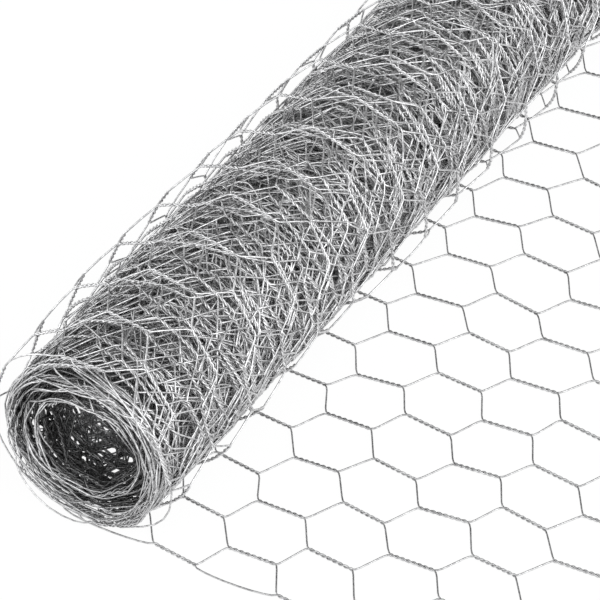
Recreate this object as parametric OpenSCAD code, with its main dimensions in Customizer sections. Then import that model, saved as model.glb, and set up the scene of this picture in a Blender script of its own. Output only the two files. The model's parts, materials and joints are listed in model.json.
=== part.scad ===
/* [Netting] */
// Width of the netting, which is the length of the roll
netting_width = 609.6; // [304.8:25.4:914.4]
// Mesh size: distance between the twisted sides of one hexagon
mesh = 25.4; // [19:0.1:30]
// Length of the twisted side of a hexagon
twist_length = 17.9; // [15:0.1:22]
// How far one slanting wire reaches along the sheet
slant_reach = 7.8; // [6:0.1:10]
// Diameter of the wire
wire = 0.6; // [0.5:0.1:1.2]

/* [Roll] */
// Outer radius of the tightly wound turns
roll_radius = 34; // [32:0.5:40]
// Radius of the open bore
bore_radius = 19; // [16:0.5:24]
// Number of tightly wound turns
turns = 42; // [10:1:50]
// Depth of the grooves between the turns, on both ends of the roll
groove_depth = 2; // [0.5:0.1:4]

/* [Outer turn] */
// How much bigger the loose outer turn is in radius than the wound turns
loose_gap = 3.5; // [2:0.1:5]
// How far the wound turns lean from the loose turn's axis, towards the tail
lean = 2; // [1:0.1:3]

/* [Tail] */
// Rows of mesh lying flat, up to the row of twists that the end is cut through
tail_rows = 7; // [4:1:8]

/* [Hidden] */
wire_colour = "silver";
fine = 128;                     // $fn of the wound turns
loose_facets = 32;              // flat strips that the loose turn bends in
slack = 1;                      // how far a cutting shape passes the face that it cuts

row_pitch = twist_length + slant_reach;
column_pitch = mesh / 2;
columns = round(netting_width / column_pitch);
sheet_width = columns * column_pitch;   // between the middles of the two edge wires
whole_width = sheet_width + wire;

// One hexagonal opening around [0, 0], with x along the sheet: the bars beside it are a
// twisted pair wide on its two long sides, and one wire wide on its four slanting sides.
steepness = slant_reach / column_pitch;
open_side = column_pitch - wire;
open_point = twist_length / 2 + slant_reach - wire / 2 * sqrt(1 + steepness * steepness);
open_corner = open_point - steepness * open_side;
opening = [
    [open_corner, open_side], [open_point, 0], [open_corner, -open_side],
    [-open_corner, -open_side], [-open_point, 0], [-open_corner, open_side]
];

// Seen from an end, the sheet lies flat up to x = loose_x. There it rises into the loose turn,
// which goes clockwise over the top and meets the wound turns on the side of the tail.
loose_radius = roll_radius + loose_gap;
loose_angle = 360 - 2 * atan2(lean, loose_gap - wire);
loose_rows = ceil(loose_radius * loose_angle * PI / 180 / row_pitch);
tail_reach = tail_rows * row_pitch + twist_length / 2;
loose_x = (loose_radius - tail_reach) / 2;      // the part is centred on x = 0
roll_x = loose_x + lean;
roll_z = wire + roll_radius;

// Middle of a row of openings, along the sheet from where it rises. Rows below 0 are curved.
function row_middle(row) = row * row_pitch + twist_length / 2;

// Place of a point of a curved sheet, seen square on from above the middle of its opening.
function seen(along, radius) = radius * sin(along / radius * 180 / PI);

// Point of the loose turn's section, at a step of the way round from the floor.
function loose_point(radius, step) =
    let (angle = step * loose_angle / loose_facets) radius * [-sin(angle), -cos(angle)];

// Lays a shape that stands on its end along the roll, with its axis at x and z.
module lay_along_roll(x, z) {
    translate([x, 0, z]) rotate([90, 0, 0]) children();
}

// The openings of one row. Every second column has one, and the edge wires halve the outer ones.
module row_of_openings(row, outline) {
    intersection() {
        for (column = [0:columns])
            if ((row + column) % 2 == 0)
                translate([0, column * column_pitch - sheet_width / 2]) polygon(outline);
        square([2 * row_pitch, sheet_width - wire], center = true);
    }
}

// Half section of the wound turns, with a groove between each turn and the next at both ends.
module turns_section() {
    turn_pitch = (roll_radius - bore_radius) / (turns - 0.5);
    end_face = [
        for (turn = [0:turns - 1])
            let (r = bore_radius + turn * turn_pitch, deep = whole_width / 2 - groove_depth)
                each [
                    if (turn > 0) [r, deep],
                    [r, whole_width / 2],
                    [r + turn_pitch / 2, whole_width / 2],
                    if (turn < turns - 1) [r + turn_pitch / 2, deep]
                ]
    ];
    last = len(end_face) - 1;
    polygon(concat(end_face, [for (i = [last:-1:0]) [end_face[i].x, -end_face[i].y]]));
}

module wound_roll() {
    color(wire_colour)
        lay_along_roll(roll_x, roll_z) rotate_extrude($fn = fine) turns_section();
}

module outer_turn() {
    color(wire_colour) difference() {
        lay_along_roll(loose_x, loose_radius) linear_extrude(whole_width, center = true)
            polygon([
                for (step = [0:loose_facets]) loose_point(loose_radius, step),
                for (step = [loose_facets:-1:0]) loose_point(loose_radius - wire, step)
            ]);
        for (row = [-loose_rows:0])
            translate([loose_x, 0, loose_radius])
                rotate([0, -row_middle(row) / loose_radius * 180 / PI, 0])
                    translate([0, 0, -loose_radius - slack])
                        linear_extrude(loose_radius / 4)
                            row_of_openings(row, [for (p = opening) [seen(p.x, loose_radius), p.y]]);
    }
}

module unrolled_tail() {
    color(wire_colour) translate([loose_x, 0, 0]) linear_extrude(wire) difference() {
        translate([0, -whole_width / 2]) square([tail_reach, whole_width]);
        for (row = [0:tail_rows])
            translate([row_middle(row), 0]) row_of_openings(row, opening);
    }
}

wound_roll();
outer_turn();
unrolled_tail();
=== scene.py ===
import json
import math

import bpy
import numpy as np
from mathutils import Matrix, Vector


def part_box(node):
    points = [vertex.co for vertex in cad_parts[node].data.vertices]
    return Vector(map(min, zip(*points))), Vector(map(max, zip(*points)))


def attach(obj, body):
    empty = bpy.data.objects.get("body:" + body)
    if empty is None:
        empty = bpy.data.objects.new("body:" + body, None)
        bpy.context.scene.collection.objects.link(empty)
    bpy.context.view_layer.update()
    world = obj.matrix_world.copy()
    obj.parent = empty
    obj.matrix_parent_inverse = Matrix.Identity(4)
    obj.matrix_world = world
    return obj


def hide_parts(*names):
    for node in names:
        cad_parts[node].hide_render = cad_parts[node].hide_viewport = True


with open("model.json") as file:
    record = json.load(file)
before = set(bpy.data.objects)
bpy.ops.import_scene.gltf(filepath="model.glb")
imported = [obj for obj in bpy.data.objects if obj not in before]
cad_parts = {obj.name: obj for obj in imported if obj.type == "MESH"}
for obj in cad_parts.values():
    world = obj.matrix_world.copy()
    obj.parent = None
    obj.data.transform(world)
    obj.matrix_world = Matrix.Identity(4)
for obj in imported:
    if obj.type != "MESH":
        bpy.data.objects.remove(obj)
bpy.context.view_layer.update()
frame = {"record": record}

# ---------------------------------------------------------------------------------------------
# Sizes, in metres. The roll's own come from the CAD model, and the netting's repeat its source.
# ---------------------------------------------------------------------------------------------
MESH = 0.0254            # across one hexagon, between its twisted sides
TWIST = 0.0179           # length of a twisted side
SLANT = 0.0078           # how far a slanting wire reaches along the sheet
TWIST_SLACK = 1.12       # distance between the middles of two twisted wires, in wires
TAIL_ROWS = 7            # rows of mesh on the floor, up to the cut
SPARE_ROWS = 3           # rows worked out past each end of the sheet
WOUND_TURNS = 41.7

roll_low, roll_high = (np.array(corner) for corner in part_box("wound_roll"))
turn_low, turn_high = (np.array(corner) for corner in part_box("outer_turn"))
tail_low, tail_high = (np.array(corner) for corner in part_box("unrolled_tail"))

WIRE = tail_high[2] - tail_low[2]
ROLL_RADIUS = (roll_high[2] - roll_low[2]) / 2
ROLL_X, ROLL_Z = (roll_high[0] + roll_low[0]) / 2, (roll_high[2] + roll_low[2]) / 2
LOOSE_RADIUS = (turn_high[2] - turn_low[2]) / 2
LOOSE_X = tail_low[0]
BORE_RADIUS = frame["record"]["mounts"][0]["dims"]["r_mm"] / 1000
NEAR_Y, FAR_Y = tail_low[1] + WIRE / 2, tail_high[1] - WIRE / 2     # middles of the edge wires

ROW_PITCH = TWIST + SLANT
COLUMN_PITCH = MESH / 2
COLUMNS = round((FAR_Y - NEAR_Y) / COLUMN_PITCH)

# How the sheet is wound
TURN_CROWDING = 1.3      # power that makes the outer turns lie closer: 1 is evenly
BUNCHES = 13             # the wound turns lie in this many bunches, with gaps between them
BUNCHING = 0.85          # how far they are drawn into their bunches: 0 is evenly spaced
BORE_OVAL = 0.065        # how far the bore is from round, as a share of its radius
OVAL_FROM = 1.3          # the turns are as oval as the bore from 1 / 1.3 of the way in
JOIN_ARC = math.radians(70)      # arc over which the sheet settles on the roll
SIDEWAYS = 0.0048        # how far the sheet wanders along the roll as it is wound
WANDER_RUN = 0.05, 0.15  # distances up the sheet from the floor between which that sets in
SET_BACK = 0.5           # by how much of it the edges are drawn inwards, on average
STAND_OUT = 0.35         # share of it that the edges wander outwards
HELD_BAND = 0.3, 0.9     # shares of the way to an edge between which it is held back to that
SAG = 0.0038             # how far it hangs away from the roll, low on the side of the tail
SAG_RUN = -0.018, 0.034  # where it does so, along the sheet from where it meets the roll
SAG_UNEVEN = 0.35        # how much the sag varies along the roll
OUTER_SLACK = 0.0030     # how far the outermost wound turn stands off on the other side
SLACK_ARC = 0.3, 4.3     # arc on which it does so, in radians
SLACK_FADE = 6           # radians of winding over which that slack is taken up
SLACK_UNEVEN = 0.4       # how much the slack varies
NEAR_TUCK = 0.0026       # how far the side away from the tail is pressed in at the near end
TUCKED_LOOSE = 0.3, 3.9  # arc of the loose turn that is pressed in
TUCKED_WOUND = 0.2, 3.1  # the same on the wound turns
NEAR_NARROW = 0.0026     # how far the bore is drawn in on both sides there, which rounds it
NEAR_REACH = 0.05        # how far from the near end all of that fades out

# How uneven it is
FLOOR_LIFT = 0.0004      # how far the flat netting rises off the floor, on average
FLOOR_RUN = 0.03, 0.07   # distances from where the sheet rises between which that sets in
LOOSE_RIPPLE = 0.0006    # how far the loose turn is in and out of round
LOOSE_FADE = 0.04        # length of sheet over which that sets in
WOUND_RIPPLE = 0.0004    # the same for the wound turns, from one stretch of the sheet to the next
WOBBLE_LOBES = 1, 1, 2, 2, 3, 3, 4, 5, 6, 8      # waves round each wound turn
WOBBLE = 0.0005          # size of those waves, which nearby turns share
WOBBLE_MORE = 0.0004     # how much bigger they get towards the bore, and at the edges
WOBBLE_LIMIT = 0.0010    # how far outwards they reach
WOBBLE_FADE = 1.5        # radians of winding over which they set in
WOBBLE_PACE = 0.10       # most by which they gain or lose on each turn, in waves
WOBBLE_SLANT = 60        # most by which a wave turns along the roll, in radians per metre
EDGE_BAND = 0.012        # width of the edges on which they are bigger
LOWEST = 0.0015          # how high the wound turns stay above the floor
DRIFT, WOUND_SHIFT = 0.0004, 0.0060     # slow wander of the mesh, and how much more when wound
WOUND_FADE = 0.2         # length of sheet over which the netting becomes as uneven as when wound
EDGE_HOLD = 0.02         # width of the edges in which the mesh shifts less across the sheet
JITTER = 0.00035         # unevenness from one twisted side to the next
WOUND_JITTER = 1.8       # how much is added to that in the wound netting
REACH_JITTER = 0.0004    # unevenness of the length of the twisted sides
SKEW = 0.0686            # how far the rows of mesh run off square, per metre across the sheet
COLUMN_TILT = 0.00079    # how far a twisted side leans each way, by turns left and right
HANDLES = 0.0004, 0.0020         # how gently a wire bends as it leaves a twist
CHORD = 0.0008           # how far a twisted side, too stiff to bend, cuts inside the curve
EDGE_BOW = 0.0022        # how far an edge wire bows outwards between its twists
EDGE_BOWS = -0.3, 1.8    # least and most share of that on the roll
EDGE_CUTS = -0.0008, 0.0024      # how far it leaves the sheet there, at the least and the most
EDGE_BEND = np.linspace(0, 1, 10)[1:-1]          # where it has points between its twists
EDGE_PULL = 0.003        # how far the near edge of the flat netting is pulled out, by the roll
PULL_U, PULL_REACH_U, PULL_REACH_V = 0.02, 0.03, 0.02    # where it is pulled, and how far around

rng = np.random.default_rng(20)


# ---------------------------------------------------------------------------------------------
# Curves
# ---------------------------------------------------------------------------------------------
def smooth_step(x):
    """Rises smoothly from 0 at x = 0 to 1 at x = 1."""
    x = np.clip(x, 0, 1)
    return x * x * (3 - 2 * x)


def rise(x, start, end):
    """Rises smoothly from 0 at the start to 1 at the end."""
    return smooth_step((x - start) / (end - start))


def swell(x, start, end):
    """Rises smoothly from 0 at the start to 1 in the middle, and falls back to 0 at the end."""
    return np.sin(np.clip((x - start) / (end - start), 0, 1) * math.pi) ** 2


def wave_sum(count, lengths, seed):
    """Smooth random function of two distances, mostly between -1.5 and 1.5."""
    draw = np.random.default_rng(seed)
    wave = draw.uniform(*lengths, count)
    slant = draw.uniform(0, 2 * math.pi, count)
    phase = draw.uniform(0, 2 * math.pi, count)

    def value(a, b):
        total = 0
        for w, s, p in zip(wave, slant, phase):
            total = total + np.sin(2 * math.pi * (a * math.cos(s) + b * math.sin(s)) / w + p)
        return total / math.sqrt(count)
    return value


ripple = wave_sum(7, (0.07, 0.26), 3)
floor_ripple = wave_sum(5, (0.09, 0.3), 5)
wander = wave_sum(8, (0.1, 0.5), 8)
drift_u, drift_v = wave_sum(6, (0.08, 0.35), 11), wave_sum(6, (0.08, 0.35), 12)
shift_u, shift_v = wave_sum(8, (0.12, 0.45), 21), wave_sum(8, (0.12, 0.45), 22)


def turn_wobble(swept, y):
    """Waves round the wound turns, which change slowly from one turn to the next."""
    draw = np.random.default_rng(14)
    total = 0
    for lobes in WOBBLE_LOBES:
        pace = lobes + draw.uniform(-WOBBLE_PACE, WOBBLE_PACE)
        slant, phase = draw.uniform(-WOBBLE_SLANT, WOBBLE_SLANT), draw.uniform(0, 2 * math.pi)
        total = total + np.sin(pace * swept + slant * (y - NEAR_Y) + phase)
    return total / math.sqrt(len(WOBBLE_LOBES))


# ---------------------------------------------------------------------------------------------
# The course of the sheet: flat on the floor, round the loose turn, then the wound turns.
# u is the distance along the sheet from where it rises. It is positive on the floor.
# Angles are clockwise from straight down, seen from the near end.
# ---------------------------------------------------------------------------------------------
loose_mid = LOOSE_RADIUS - WIRE
lean = ROLL_X - LOOSE_X
loose_angle = 2 * math.pi - 2 * math.atan2(lean, LOOSE_RADIUS - ROLL_RADIUS - WIRE)
loose_length = loose_mid * loose_angle
first_radius, last_radius = ROLL_RADIUS - WIRE, (BORE_RADIUS + WIRE / 2) / (1 - BORE_OVAL)
wound_angle = 2 * math.pi * WOUND_TURNS


def end_of_loose_turn():
    """Its angle and radius about the axis of the wound turns, where it meets them."""
    x = LOOSE_X - loose_mid * math.sin(loose_angle) - ROLL_X
    z = LOOSE_RADIUS - loose_mid * math.cos(loose_angle) - ROLL_Z
    return math.atan2(-x, -z) % (2 * math.pi), math.hypot(x, z)


join_angle, join_radius = end_of_loose_turn()


def wound_radius(swept):
    """Radius of the wound sheet, after it has swept an angle from where it meets the roll."""
    done = swept / wound_angle
    done = done - BUNCHING * np.sin(2 * math.pi * BUNCHES * done) / (2 * math.pi * BUNCHES)
    radius = first_radius + (last_radius - first_radius) * done ** TURN_CROWDING
    settle = 1 - smooth_step(swept / JOIN_ARC)
    oval = -BORE_OVAL * smooth_step(done * OVAL_FROM) * np.cos(2 * (join_angle + swept))
    return radius * (1 + oval) + (join_radius - first_radius) * settle


swept_table = np.linspace(0, wound_angle, 9000)
radius_table = wound_radius(swept_table)
length_table = np.concatenate([[0], np.cumsum(
    np.diff(swept_table) * (radius_table[1:] + radius_table[:-1]) / 2)])
sheet_start = -(loose_length + length_table[-1])


def near_end(y):
    """1 at the near end of the roll, fading to 0."""
    return 1 - smooth_step((y - NEAR_Y) / NEAR_REACH)


def sag(u, y):
    """How far the sheet hangs out below the tail side, where the loose turn meets the roll."""
    return SAG * (1 + SAG_UNEVEN * ripple(0 * u, y)) * swell(-u - loose_length, *SAG_RUN)


def on_floor(u, y):
    """x, z and angle of the flat netting."""
    lift = FLOOR_LIFT * (1 + floor_ripple(u, y)) * rise(u, *FLOOR_RUN)
    return LOOSE_X + np.maximum(u, 0), WIRE + lift, 0 * u


def on_loose_turn(u, y):
    """x, z and angle of the loose turn, which is one arc from the floor to the wound turns."""
    angle = np.clip(-u, 0, loose_length) / loose_mid
    uneven = LOOSE_RIPPLE * ripple(u, y) * smooth_step(-u / LOOSE_FADE)
    tuck = NEAR_TUCK * near_end(y) * swell(angle, *TUCKED_LOOSE)
    radius = loose_mid + uneven - tuck + sag(u, y)
    z = LOOSE_RADIUS - radius * np.cos(angle)
    return LOOSE_X - radius * np.sin(angle), np.maximum(z, WIRE), angle


def on_wound_turns(u, y):
    """x, z and angle of the wound turns, which spiral in to the bore."""
    swept = np.interp(-u - loose_length, length_table, swept_table)
    angle = join_angle + swept
    on_turn = angle % (2 * math.pi)
    near, inward = near_end(y), swept / wound_angle
    edge = np.exp(-np.minimum(y - NEAR_Y, FAR_Y - y) / EDGE_BAND)
    wobble = (WOBBLE + WOBBLE_MORE * inward + WOBBLE_MORE * edge) * turn_wobble(swept, y)
    wobble = np.minimum(wobble * smooth_step(swept / WOBBLE_FADE), WOBBLE_LIMIT)
    slack = OUTER_SLACK * np.exp(-swept / SLACK_FADE) * swell(on_turn, *SLACK_ARC)
    radius = wound_radius(swept) + wobble + WOUND_RIPPLE * ripple(u, y)
    radius = radius + slack * (1 - near) * (1 + SLACK_UNEVEN * ripple(u, y)) + sag(u, y)
    radius = radius - NEAR_TUCK * near * (1 - inward) * swell(on_turn, *TUCKED_WOUND)
    radius = radius - NEAR_NARROW * near * inward * np.sin(angle) ** 2
    z = ROLL_Z - radius * np.cos(angle)
    return ROLL_X - radius * np.sin(angle), np.maximum(z, LOWEST), angle


def sheet(u, y):
    """Points of the middle of the sheet, and its normals, which point up on the floor."""
    stretches = [u >= 0, -u < loose_length]
    x, z, angle = (
        np.select(stretches, [flat, loose], wound)
        for flat, loose, wound in zip(on_floor(u, y), on_loose_turn(u, y), on_wound_turns(u, y)))
    return np.stack([x, y, z], -1), np.stack([np.sin(angle), 0 * angle, np.cos(angle)], -1)


def sideways(u, v):
    """How far the sheet is off its straight course along the roll, once it is wound."""
    inwards = 1 - 2 * v / (FAR_Y - NEAR_Y)
    aside = SIDEWAYS * (SET_BACK * inwards + wander(u, 0 * u))
    aside = aside * rise(-u, *WANDER_RUN)
    held = (1 - STAND_OUT) * rise(abs(inwards), *HELD_BAND) * (aside * inwards < 0)
    return (1 - held) * aside


# ---------------------------------------------------------------------------------------------
# The wires. Each one runs the whole length of the sheet and is twisted with the wire on one side
# and then with the wire on the other. v is the distance across the sheet from its near edge.
# ---------------------------------------------------------------------------------------------
FIRST_ROW = -math.floor(-sheet_start / ROW_PITCH)
LOOSE_FIRST = -math.ceil(loose_length / ROW_PITCH)
row_numbers = range(FIRST_ROW - SPARE_ROWS, TAIL_ROWS + SPARE_ROWS)
node_shape = len(row_numbers), COLUMNS + 1
node_u = rng.normal(0, JITTER, node_shape)
node_v = rng.normal(0, JITTER, node_shape)
node_height = rng.normal(0, JITTER, node_shape)
node_lean = rng.normal(0, JITTER, node_shape)
node_reach = rng.normal(0, REACH_JITTER, node_shape)
edge_bows = rng.uniform(*EDGE_BOWS, len(row_numbers))
edge_cuts = rng.uniform(*EDGE_CUTS, len(row_numbers))
node_handle = rng.uniform(*HANDLES, node_shape)


def twist_ends(row, column):
    """Both ends, as (u, v, height), of the twisted side in a row and a column of the sheet."""
    i, j = row - row_numbers[0], column
    v = column * COLUMN_PITCH
    u = row * ROW_PITCH - SKEW * v
    from_edge = min(v, COLUMNS * COLUMN_PITCH - v)
    wound = float(smooth_step((-u - loose_length) / WOUND_FADE))
    pull = EDGE_PULL * math.exp(-(v / PULL_REACH_V) ** 2 - ((u - PULL_U) / PULL_REACH_U) ** 2)
    u_shift = DRIFT * float(drift_u(u, v)) + WOUND_SHIFT * wound * float(shift_u(u, v))
    v_shift = DRIFT * float(drift_v(u, v)) + WOUND_SHIFT * wound * float(shift_v(u, v))
    loosened = 1 + WOUND_JITTER * wound
    u += node_u[i, j] * loosened + u_shift + pull
    v += (node_v[i, j] * loosened + v_shift) * min(1, from_edge / EDGE_HOLD)
    tilt = COLUMN_TILT * (1 if column % 2 else -1) + node_lean[i, j] * loosened
    stretch, height = node_reach[i, j], wound * node_height[i, j]
    return (np.array([u - stretch, v - tilt, height]),
            np.array([u + TWIST + stretch, v + tilt, height]))


def twist_of(wire, row):
    """Column of the twist that a wire is in, in one row, and the side of it that it starts on."""
    column = wire - 1 if (wire - 1 + row) % 2 else wire
    side = 1 if column == wire - 1 else -1
    return column, side


def twisted_strand(row, column, side, detail):
    """Points of one of the two wires of a twisted side."""
    start, end = twist_ends(row, column)
    along = np.linspace(0, 1, detail["turns"] * detail["steps"] + 1)
    turn = 2 * math.pi * detail["turns"] * along * (1 if column % 2 else -1)
    corner_reach = 1 / math.cos(math.pi / max(detail["steps"], 3))
    offset = side * WIRE * TWIST_SLACK / 2 * (1 + corner_reach) / 2
    cut = CHORD * 4 * along * (1 - along) if row < 0 else 0
    return start + (end - start) * along[:, None] + np.column_stack([
        0 * along, offset * np.cos(turn), offset * np.sin(turn) + cut])


def wire_between(start, end, row, column, detail):
    """Points of a wire between two of its twists, the second of which is in a row and column."""
    i = row - row_numbers[0]
    at_edge = end[0] - start[0] > 1.5 * SLANT       # an edge wire has no twist in every other row
    t = (EDGE_BEND if at_edge else np.array(detail["bend"]))[:, None]
    handle = np.array([node_handle[i, column], 0, 0])
    course = ((1 - t) ** 3 * start + 3 * (1 - t) ** 2 * t * (start + handle)
              + 3 * (1 - t) * t ** 2 * (end - handle) + t ** 3 * end)
    if at_edge:
        outward = -1 if column == 0 else 1
        bow = np.sin(math.pi * t[:, 0])
        course[:, 1] += outward * EDGE_BOW * bow * (1 if row > 0 else edge_bows[i])
        course[:, 2] += edge_cuts[i] * bow * (row < LOOSE_FIRST)
    return course


def wire_course(wire, rows, detail):
    """Points (u, v, height above the middle of the sheet) of one wire, from the core outwards."""
    pieces = []
    before = rows[0] - 1 if 0 <= twist_of(wire, rows[0] - 1)[0] <= COLUMNS else rows[0] - 2
    if before >= FIRST_ROW:
        column, side = twist_of(wire, before)
        pieces.append(twist_ends(before, column)[1][None] + np.array([0, side * WIRE / 2, 0]))
    for row in rows:
        column, side = twist_of(wire, row)
        if 0 <= column <= COLUMNS:
            strand = twisted_strand(row, column, side, detail)
            if pieces:
                pieces.append(wire_between(pieces[-1][-1], strand[0], row, column, detail))
            pieces.append(strand)
    return np.concatenate(pieces)


def wire_points(wire, rows, detail, cut):
    """Points of one wire in space, and the sheet's normals there."""
    course = wire_course(wire, rows, detail)
    if cut is not None:
        course = course[course[:, 0] + SKEW * course[:, 1] <= cut]
    u, v = course[:, 0], course[:, 1]
    place, normal = sheet(u, NEAR_Y + v + sideways(u, v))
    return place + normal * course[:, 2:3], normal


# ---------------------------------------------------------------------------------------------
# Meshes
# ---------------------------------------------------------------------------------------------
def tube(points, normals, radius, sides):
    """Vertices, side faces and end faces of a closed tube along points."""
    tangent = np.gradient(points, axis=0)
    tangent /= np.linalg.norm(tangent, axis=1)[:, None]
    across = np.cross(tangent, normals)
    across /= np.linalg.norm(across, axis=1)[:, None]
    up = np.cross(across, tangent)
    turn = 2 * math.pi * np.arange(sides) / sides
    ring = np.cos(turn)[None, :, None] * across[:, None] + np.sin(turn)[None, :, None] * up[:, None]
    vertices = (points[:, None] + radius * ring).reshape(-1, 3)
    count = len(points)
    a = np.arange(count - 1)[:, None] * sides + np.arange(sides)[None, :]
    b = np.arange(count - 1)[:, None] * sides + (np.arange(sides)[None, :] + 1) % sides
    quads = np.stack([a, b, b + sides, a + sides], -1).reshape(-1, 4)
    return vertices, quads, (np.arange(sides)[::-1], np.arange(sides) + (count - 1) * sides)


def mesh_object(name, vertices, quads, caps, sides):
    """Object from the faces of many tubes."""
    loops = np.concatenate([quads.ravel()] + caps).astype(np.int32)
    sizes = np.concatenate([np.full(len(quads), 4), np.full(len(caps), sides)])
    starts = np.concatenate([[0], np.cumsum(sizes)[:-1]]).astype(np.int32)
    mesh = bpy.data.meshes.new(name)
    mesh.vertices.add(len(vertices))
    mesh.vertices.foreach_set("co", vertices.astype(np.float32).ravel())
    mesh.loops.add(len(loops))
    mesh.loops.foreach_set("vertex_index", loops)
    mesh.polygons.add(len(sizes))
    mesh.polygons.foreach_set("loop_start", starts)
    mesh.update(calc_edges=True)
    mesh.polygons.foreach_set("use_smooth", np.ones(len(sizes), bool))
    mesh.validate()
    made = bpy.data.objects.new(name, mesh)
    bpy.context.collection.objects.link(made)
    return made


def netting(name, rows, detail, cut=None):
    """One piece of the sheet, as one mesh: every wire of it, over a run of rows."""
    all_vertices, all_quads, all_caps, base = [], [], [], 0
    sides = detail["sides"]
    flat_to_flat = math.cos(math.pi / sides)
    for wire in range(COLUMNS + 2):
        inside = min(wire, COLUMNS + 1 - wire) > END_WIRES
        wire_detail = detail.get("inside", detail) if inside else detail
        points, normals = wire_points(wire, rows, wire_detail, cut)
        vertices, quads, caps = tube(points, normals, WIRE / (1 + flat_to_flat), sides)
        all_vertices.append(vertices)
        all_quads.append(quads + base)
        all_caps += [cap + base for cap in caps]
        base += len(vertices)
    piece = mesh_object(
        name, np.concatenate(all_vertices), np.concatenate(all_quads), all_caps, sides)
    piece.data.materials.append(galvanised)
    return piece


# ---------------------------------------------------------------------------------------------
# Materials
# ---------------------------------------------------------------------------------------------
METALLIC = 0.75          # zinc whose skin has weathered a little is less than fully metallic
DARK_ZINC = 0.24, 0.24, 0.245, 1
PALE_ZINC = 0.86, 0.86, 0.865, 1
ZINC_BAND = 0.3, 0.7     # values of the mottling between which the zinc goes from dark to pale
PATCHES, GRAIN = 90, 800         # features per metre, in patches and in the spangle on the wire
GRAIN_SHARE = 0.65       # share of the spangle in the mottling
ROUGHNESS = 0.22, 0.38
RELIEF, RELIEF_DEPTH = 0.25, 0.00008
FACE_UNEVEN = 0.002      # how far the ends of the roll stand out past the edges of the netting, in the depth that sets the painted shade
PAINTED_SHADE_DEPTH = 0.013       # depth in the roll from which the painted shade is at its darkest
PAINTED_SHADE_SHARE = 0.76        # the zinc's brightness there under the painted shade, as a share of that on the outside
GROUND_SHADE_BAND = 0.0015, 0.006     # heights between which the painted shade on the wires on the ground fades out
GROUND_SHADE_SHARE = 0.70      # brightness of the zinc on the ground under that painted shade
END_SHADE = 0.72             # how much of the zinc's brightness the painted shade between the ends' turns takes
END_SHADE_STARTS = 0.0005, 0.0035   # depths below the ends between which that painted shade sets in
END_SHADE_ENDS = 0.010, 0.035       # depths between which it fades out
END_SHADE_UNDER = 0.0025, 0.006     # depths below the side of the roll between which it sets in
FLOOR_GREY = 0.05, 0.05, 0.05, 1
FLOOR_GLOW = 0.95        # the floor glows evenly, so that it is nearly white and shadows are faint


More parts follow.
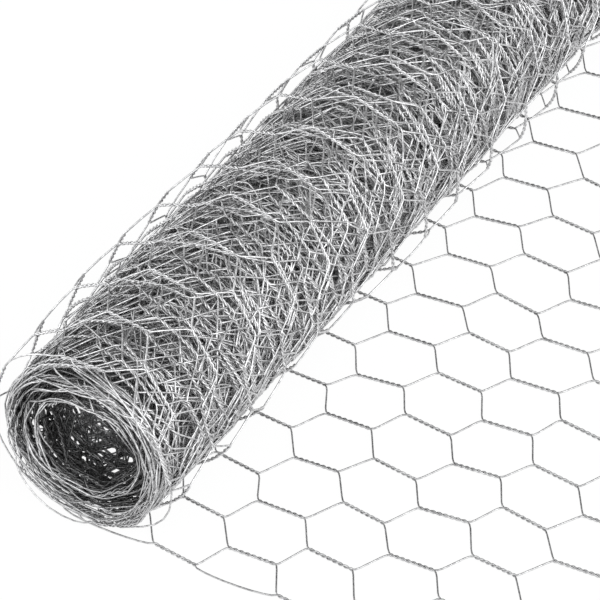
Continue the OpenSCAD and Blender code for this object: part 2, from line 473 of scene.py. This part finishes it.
def galvanised_material():
    """Zinc-coated wire: mottled, and darkened by painted shade deep in the roll, between its ends'
    turns and on the ground."""
    material = bpy.data.materials.new("galvanised_wire")
    material.use_nodes = True
    nodes, links = material.node_tree.nodes, material.node_tree.links
    shader = nodes["Principled BSDF"]
    shader.inputs["Metallic"].default_value = METALLIC

    def math_node(operation, first, second=None):
        node = nodes.new("ShaderNodeMath")
        node.operation = operation
        for socket, value in zip(node.inputs, (first, second)):
            if isinstance(value, float):
                socket.default_value = value
            elif value is not None:
                links.new(value, socket)
        return node.outputs["Value"]

    def noise(scale, detail):
        node = nodes.new("ShaderNodeTexNoise")
        node.inputs["Scale"].default_value = scale
        node.inputs["Detail"].default_value = detail
        links.new(place.outputs["Object"], node.inputs["Vector"])
        return node.outputs["Fac"]

    def ranged(value, *limits):
        node = nodes.new("ShaderNodeMapRange")
        node.interpolation_type = "SMOOTHSTEP"
        for name, limit in zip(("From Min", "From Max", "To Min", "To Max"), limits):
            node.inputs[name].default_value = limit
        links.new(value, node.inputs["Value"])
        return node.outputs["Result"]

    place = nodes.new("ShaderNodeTexCoord")
    patches, grain = noise(PATCHES, 3), noise(GRAIN, 2)
    apart = nodes.new("ShaderNodeSeparateXYZ")
    links.new(place.outputs["Object"], apart.inputs["Vector"])
    from_axis = math_node("SQRT", math_node(
        "ADD",
        math_node("POWER", math_node("SUBTRACT", apart.outputs["X"], ROLL_X), 2.0),
        math_node("POWER", math_node("SUBTRACT", apart.outputs["Z"], ROLL_Z), 2.0)))
    under_side = math_node("SUBTRACT", ROLL_RADIUS, from_axis)
    under_near = math_node("SUBTRACT", apart.outputs["Y"], NEAR_Y - FACE_UNEVEN)
    under_far = math_node("SUBTRACT", FAR_Y + FACE_UNEVEN, apart.outputs["Y"])
    under_end = math_node("MINIMUM", under_near, under_far)
    depth = math_node("MINIMUM", under_side, under_end)
    # painted shade: the zinc is darkened with depth in the roll, where the outer turns shade it
    painted_shading = math_node("MULTIPLY", ranged(depth, 0.0, PAINTED_SHADE_DEPTH, 1.0, PAINTED_SHADE_SHARE),
                        # painted shade: the zinc on the ground is darkened too
                        ranged(apart.outputs["Z"], *GROUND_SHADE_BAND, GROUND_SHADE_SHARE, 1.0))
    # painted shade between the turns of the roll's ends, darkest a little way in
    end_shade = math_node("MULTIPLY", ranged(under_end, *END_SHADE_STARTS, 0.0, 1.0),
                      ranged(under_end, *END_SHADE_ENDS, 1.0, 0.0))
    end_shade = math_node("MULTIPLY", end_shade, ranged(under_side, *END_SHADE_UNDER, 0.0, END_SHADE))
    painted_shading = math_node("MULTIPLY", painted_shading, math_node("SUBTRACT", 1.0, end_shade))

    tone = nodes.new("ShaderNodeValToRGB")
    for element, position, colour in zip(
            tone.color_ramp.elements, ZINC_BAND, (DARK_ZINC, PALE_ZINC)):
        element.position = position
        element.color = colour
    mottling = math_node("ADD", math_node("MULTIPLY", patches, 1 - GRAIN_SHARE),
                         math_node("MULTIPLY", grain, GRAIN_SHARE))
    links.new(mottling, tone.inputs["Fac"])
    shaded_tone = nodes.new("ShaderNodeVectorMath")
    shaded_tone.operation = "SCALE"
    links.new(tone.outputs["Color"], shaded_tone.inputs["Vector"])
    links.new(painted_shading, shaded_tone.inputs["Scale"])
    links.new(shaded_tone.outputs["Vector"], shader.inputs["Base Color"])
    links.new(ranged(mottling, 0.25, 0.75, *ROUGHNESS), shader.inputs["Roughness"])
    relief = nodes.new("ShaderNodeBump")
    relief.inputs["Strength"].default_value = RELIEF
    relief.inputs["Distance"].default_value = RELIEF_DEPTH
    links.new(grain, relief.inputs["Height"])
    links.new(relief.outputs["Normal"], shader.inputs["Normal"])
    return material


def floor_material():
    """Plain white ground."""
    material = bpy.data.materials.new("floor")
    material.use_nodes = True
    shader = material.node_tree.nodes["Principled BSDF"]
    shader.inputs["Base Color"].default_value = FLOOR_GREY
    shader.inputs["Roughness"].default_value = 0.9
    shader.inputs["Specular IOR Level"].default_value = 0.0
    shader.inputs["Emission Color"].default_value = (1, 1, 1, 1)
    shader.inputs["Emission Strength"].default_value = FLOOR_GLOW
    return material


# ---------------------------------------------------------------------------------------------
# The pieces. In the netting that shows, each wire of a twist makes four full turns. Inside the
# roll it has fewer turns, steps and sides, most of all away from the roll's ends.
# ---------------------------------------------------------------------------------------------
# Turns of a twist, steps to each turn, sides of a wire, and where it has points between twists
FINE = {"turns": 4, "steps": 6, "sides": 6, "bend": (0.1, 0.25, 0.5, 0.75, 0.9)}
GOOD = {"turns": 4, "steps": 5, "sides": 5, "bend": (0.15, 0.5, 0.85)}
PLAIN = {"turns": 4, "steps": 4, "sides": 4, "bend": (0.25, 0.75)}
COARSE = {"turns": 4, "steps": 3, "sides": 3, "bend": (0.5,)}
SPARSE = {"turns": 1, "steps": 4, "sides": 3, "bend": ()}
HIDDEN = {"turns": 1, "steps": 1, "sides": 3, "bend": ()}
DEEP = {"turns": 2, "steps": 4, "sides": 3, "bend": (), "inside": SPARSE}
DEEPEST = {"turns": 2, "steps": 4, "sides": 3, "bend": (), "inside": HIDDEN}
END_WIRES = 7            # wires near each end that don't take the coarser detail of the inside

# Rows of mesh in each piece of the wound netting, from the outside in. The bore has the last 12,
# and the piece before it takes what is left.
BORE_ROWS = 12
LAYERS = (16, PLAIN), (32, COARSE), (24, COARSE), (50, DEEP), (100, DEEPEST)

galvanised = galvanised_material()
tail_cut = TAIL_ROWS * ROW_PITCH + TWIST / 2
tail = netting("tail_netting", range(0, TAIL_ROWS + SPARE_ROWS), FINE, cut=tail_cut)
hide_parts("unrolled_tail")
loose = netting("loose_turn_netting", range(LOOSE_FIRST, 0), GOOD)
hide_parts("outer_turn")

layer_ends = [LOOSE_FIRST - sum(count for count, detail in LAYERS[:i]) for i in range(len(LAYERS) + 1)]
layer_ends += [FIRST_ROW + BORE_ROWS, FIRST_ROW]
layer_details = [detail for count, detail in LAYERS] + [DEEP, COARSE]
wound_pieces = []
for number, detail in enumerate(layer_details):
    rows = range(layer_ends[number + 1], layer_ends[number])
    piece = netting(f"wound_netting_{number + 1}", rows, detail)
    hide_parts("wound_roll")
    wound_pieces.append(piece)
for piece in [tail, loose] + wound_pieces:
    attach(piece, "root")

# ---------------------------------------------------------------------------------------------
# Floor, light and camera. An azimuth runs from the roll's far end towards the tail, in degrees.
# ---------------------------------------------------------------------------------------------
FLOOR_REACH, FLOOR_DROP = 4, 0.0002
DOME_COLOUR = 0.99, 0.995, 1.0, 1
DOME_STRENGTH = 1.72
DARK_SIDE = 330, 38      # azimuth and elevation about which the dome is dark
DARK_REACH = 84          # degrees from there to where it has its whole strength
DARK_CORE = 28           # degrees from there within which it is black
SOFTBOX_DISTANCE, SOFTBOX_SIZE = 2.0, 1.0
SOFTBOXES = {            # azimuth, elevation and radiance
    "right": (96, 42, 3.3),
    "back_right": (50, 58, 0.5),
    "front_right": (162, 46, 1.6),
    "left": (262, 46, 1.2),
    "low_right": (95, 14, 2),
    "low_left": (255, 14, 2.8),
}
LENS = 232.3
CAMERA_LOOKS = -30.88, -39.87    # azimuth and elevation
CAMERA_FROM_END = 0.56358, -0.79963, 0.91302     # from the floor below the near end's middle


def toward(azimuth, elevation):
    """Unit vector in a direction."""
    across, up = math.radians(azimuth), math.radians(elevation)
    return Vector((math.sin(across) * math.cos(up), math.cos(across) * math.cos(up), math.sin(up)))


def pale_floor():
    """Level white ground, just below the netting."""
    reach = FLOOR_REACH
    mesh = bpy.data.meshes.new("floor")
    corners = [(-reach, -reach, 0), (reach, -reach, 0), (reach, reach, 0), (-reach, reach, 0)]
    mesh.from_pydata(corners, [], [(0, 1, 2, 3)])
    mesh.materials.append(floor_material())
    made = bpy.data.objects.new("floor", mesh)
    made.location.z = -FLOOR_DROP
    bpy.context.collection.objects.link(made)
    return made


def dome():
    """Soft light from everywhere above, except around one direction."""
    world = bpy.data.worlds.new("studio")
    bpy.context.scene.world = world
    world.use_nodes = True
    nodes, links = world.node_tree.nodes, world.node_tree.links
    direction = nodes.new("ShaderNodeTexCoord")
    along = nodes.new("ShaderNodeVectorMath")
    along.operation = "DOT_PRODUCT"
    along.inputs[1].default_value = toward(*DARK_SIDE)
    links.new(direction.outputs["Generated"], along.inputs[0])
    dimming = nodes.new("ShaderNodeMapRange")
    dimming.interpolation_type = "SMOOTHSTEP"
    dimming.inputs["From Min"].default_value = math.cos(math.radians(DARK_REACH))
    dimming.inputs["From Max"].default_value = math.cos(math.radians(DARK_CORE))
    dimming.inputs["To Min"].default_value = DOME_STRENGTH
    dimming.inputs["To Max"].default_value = 0
    links.new(along.outputs["Value"], dimming.inputs["Value"])
    nodes["Background"].inputs["Color"].default_value = DOME_COLOUR
    links.new(dimming.outputs["Result"], nodes["Background"].inputs["Strength"])


def softbox(name, azimuth, elevation, radiance):
    """A square lamp that faces the middle of the part."""
    light = bpy.data.lights.new(name, "AREA")
    light.shape, light.size = "SQUARE", SOFTBOX_SIZE
    light.energy = radiance * math.pi * SOFTBOX_SIZE ** 2
    lamp = bpy.data.objects.new(name, light)
    bpy.context.collection.objects.link(lamp)
    lamp.location = SOFTBOX_DISTANCE * toward(azimuth, elevation)
    lamp.rotation_euler = lamp.location.to_track_quat("Z", "Y").to_euler()
    lamp.visible_camera = False


def camera():
    """Camera at the photo's angle, above the near end and on the side of the tail."""
    data = bpy.data.cameras.new("camera")
    data.sensor_width = 36
    data.lens = LENS
    data.clip_start, data.clip_end = 0.1, 20
    made = bpy.data.objects.new("camera", data)
    bpy.context.collection.objects.link(made)
    made.location = Vector((ROLL_X, NEAR_Y, 0)) + Vector(CAMERA_FROM_END)
    made.rotation_euler = toward(*CAMERA_LOOKS).to_track_quat("-Z", "Y").to_euler()
    return made


floor = pale_floor()
dome()
for name, settings in SOFTBOXES.items():
    softbox(name, *settings)
bpy.context.scene.camera = camera()
bpy.context.scene.view_settings.view_transform = "Standard"
